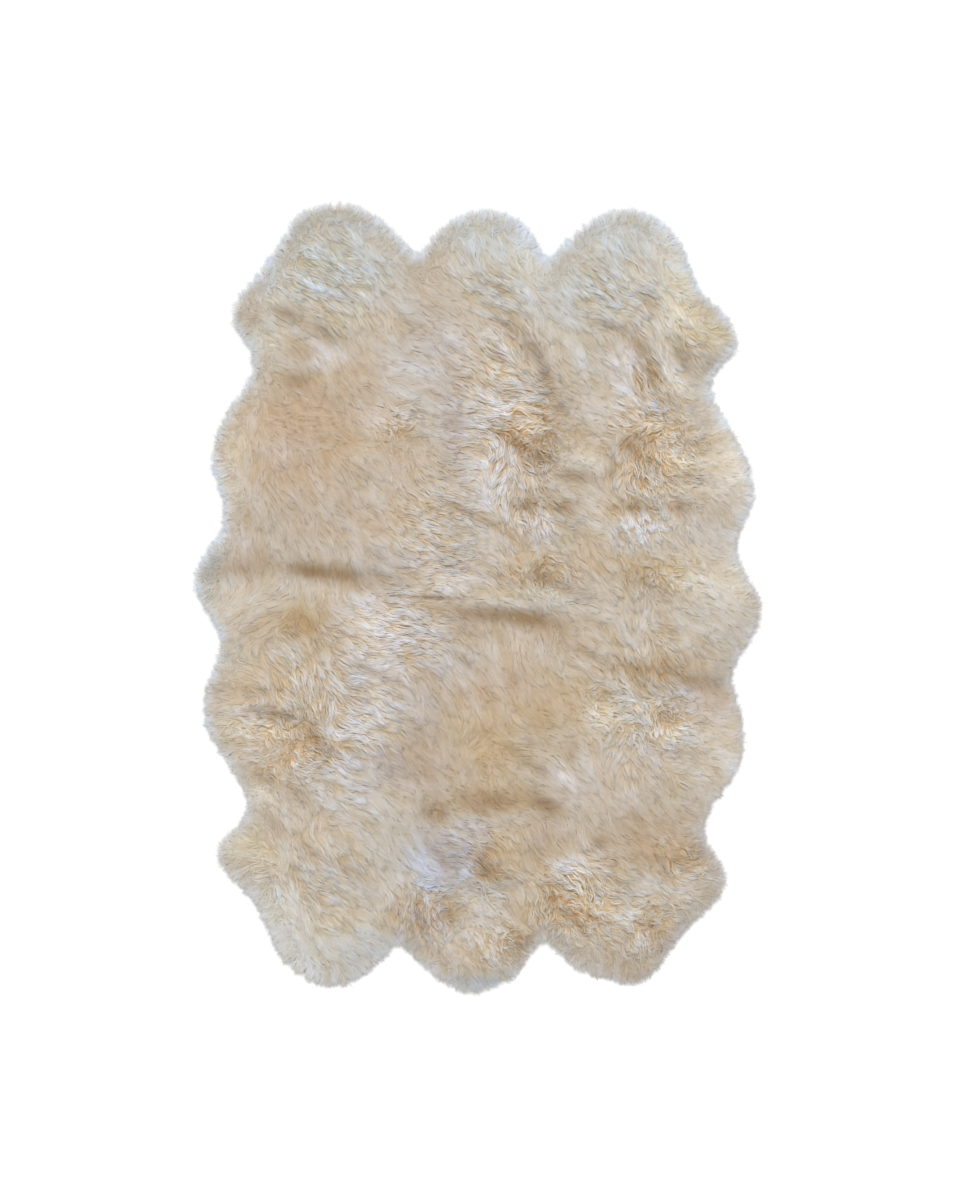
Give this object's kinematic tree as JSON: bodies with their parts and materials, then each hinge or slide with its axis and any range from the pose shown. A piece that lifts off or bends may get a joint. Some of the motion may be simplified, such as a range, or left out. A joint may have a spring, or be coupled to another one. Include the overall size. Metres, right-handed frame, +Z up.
{
  "type": "sheepskin rug",
  "caption": "Long-wool sheepskin floor rug of pelts sewn side by side and end to end, with a lobed outline and wool locks at the rim.",
  "frame": {"origin": "on the floor, under the middle of the rug's box", "axes": "+Y towards the upper neck ends, along the rug's length; +X to the rug's right seen from above; +Z up"},
  "size_m": [1.3292, 1.8504, 0.0468],
  "materials": {
    "pelt_upper_left_wool": "matte wool",
    "pelt_upper_middle_wool": "matte wool",
    "pelt_upper_right_wool": "matte wool",
    "pelt_lower_left_wool": "matte wool",
    "pelt_lower_middle_wool": "matte wool",
    "pelt_lower_right_wool": "matte wool"
  },
  "bodies": {
    "root": {"pelt_upper_left": "pelt_upper_left_wool", "pelt_upper_middle": "pelt_upper_middle_wool", "pelt_upper_right": "pelt_upper_right_wool", "pelt_lower_left": "pelt_lower_left_wool", "pelt_lower_middle": "pelt_lower_middle_wool", "pelt_lower_right": "pelt_lower_right_wool"}
  },
  "joints": []
}
